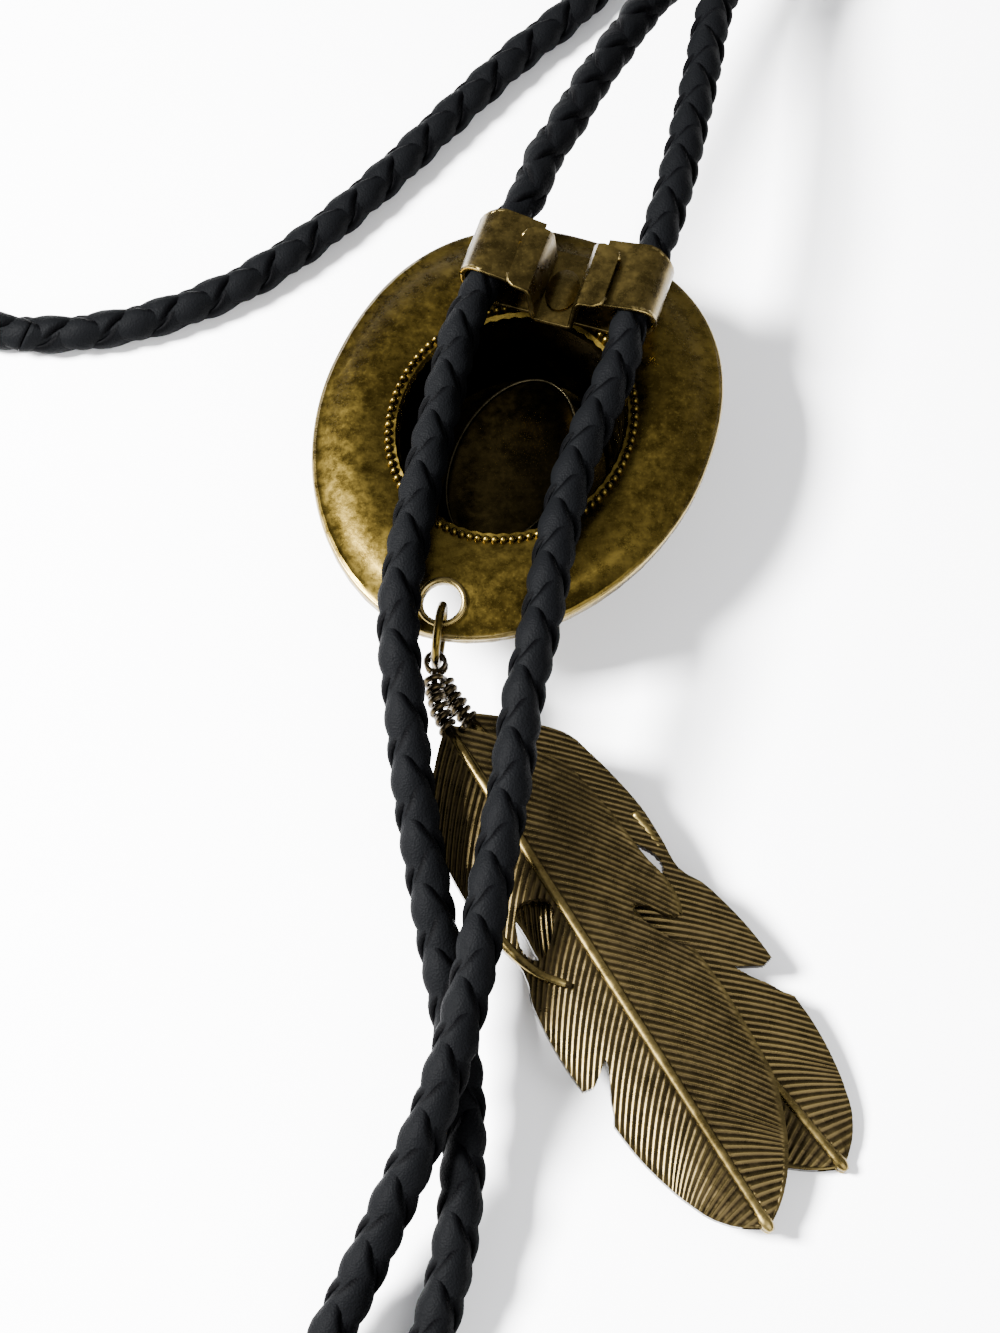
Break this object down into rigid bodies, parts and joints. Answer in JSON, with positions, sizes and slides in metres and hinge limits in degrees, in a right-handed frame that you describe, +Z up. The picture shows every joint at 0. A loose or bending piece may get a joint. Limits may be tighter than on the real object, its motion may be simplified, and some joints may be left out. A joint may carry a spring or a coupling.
{
  "type": "bolo tie",
  "caption": "Bolo tie lying face down: hat-shaped slide with a crown hollow, sheet clip, feather drops on a jump ring, and a black braided cord with tube tips",
  "frame": {"origin": "on the surface it lies on, under the middle of the metal slide and its feathers", "axes": "+Z up from the surface, +Y from the feathers towards the neck loop, +X to the right seen from above with the feathers at the bottom"},
  "size_m": [0.1253, 0.2643, 0.0213],
  "materials": {
    "antique_bronze": "antique bronze, olive patina with polished edges",
    "clip_bronze": "worn antique bronze sheet",
    "feather_bronze": "cast antique bronze with bright ridges",
    "dark_wire": "darkened wire",
    "black_leather": "black braided leather, low sheen"
  },
  "bodies": {
    "root": {"hat_brim": "antique_bronze", "hat_crown": "antique_bronze", "hat_band": "antique_bronze", "clip_plate": "clip_bronze", "clip_channel": "clip_bronze", "jump_ring": "dark_wire", "feather_front": "feather_bronze", "feather_back": "feather_bronze", "wire_wrap_front": "dark_wire", "wire_wrap_back": "dark_wire", "cord_neck_left": "black_leather", "cord_neck_right": "black_leather", "cord_end_left": "black_leather", "cord_end_right": "black_leather", "cord_tip_left": "clip_bronze", "cord_tip_right": "clip_bronze"}
  },
  "joints": []
}
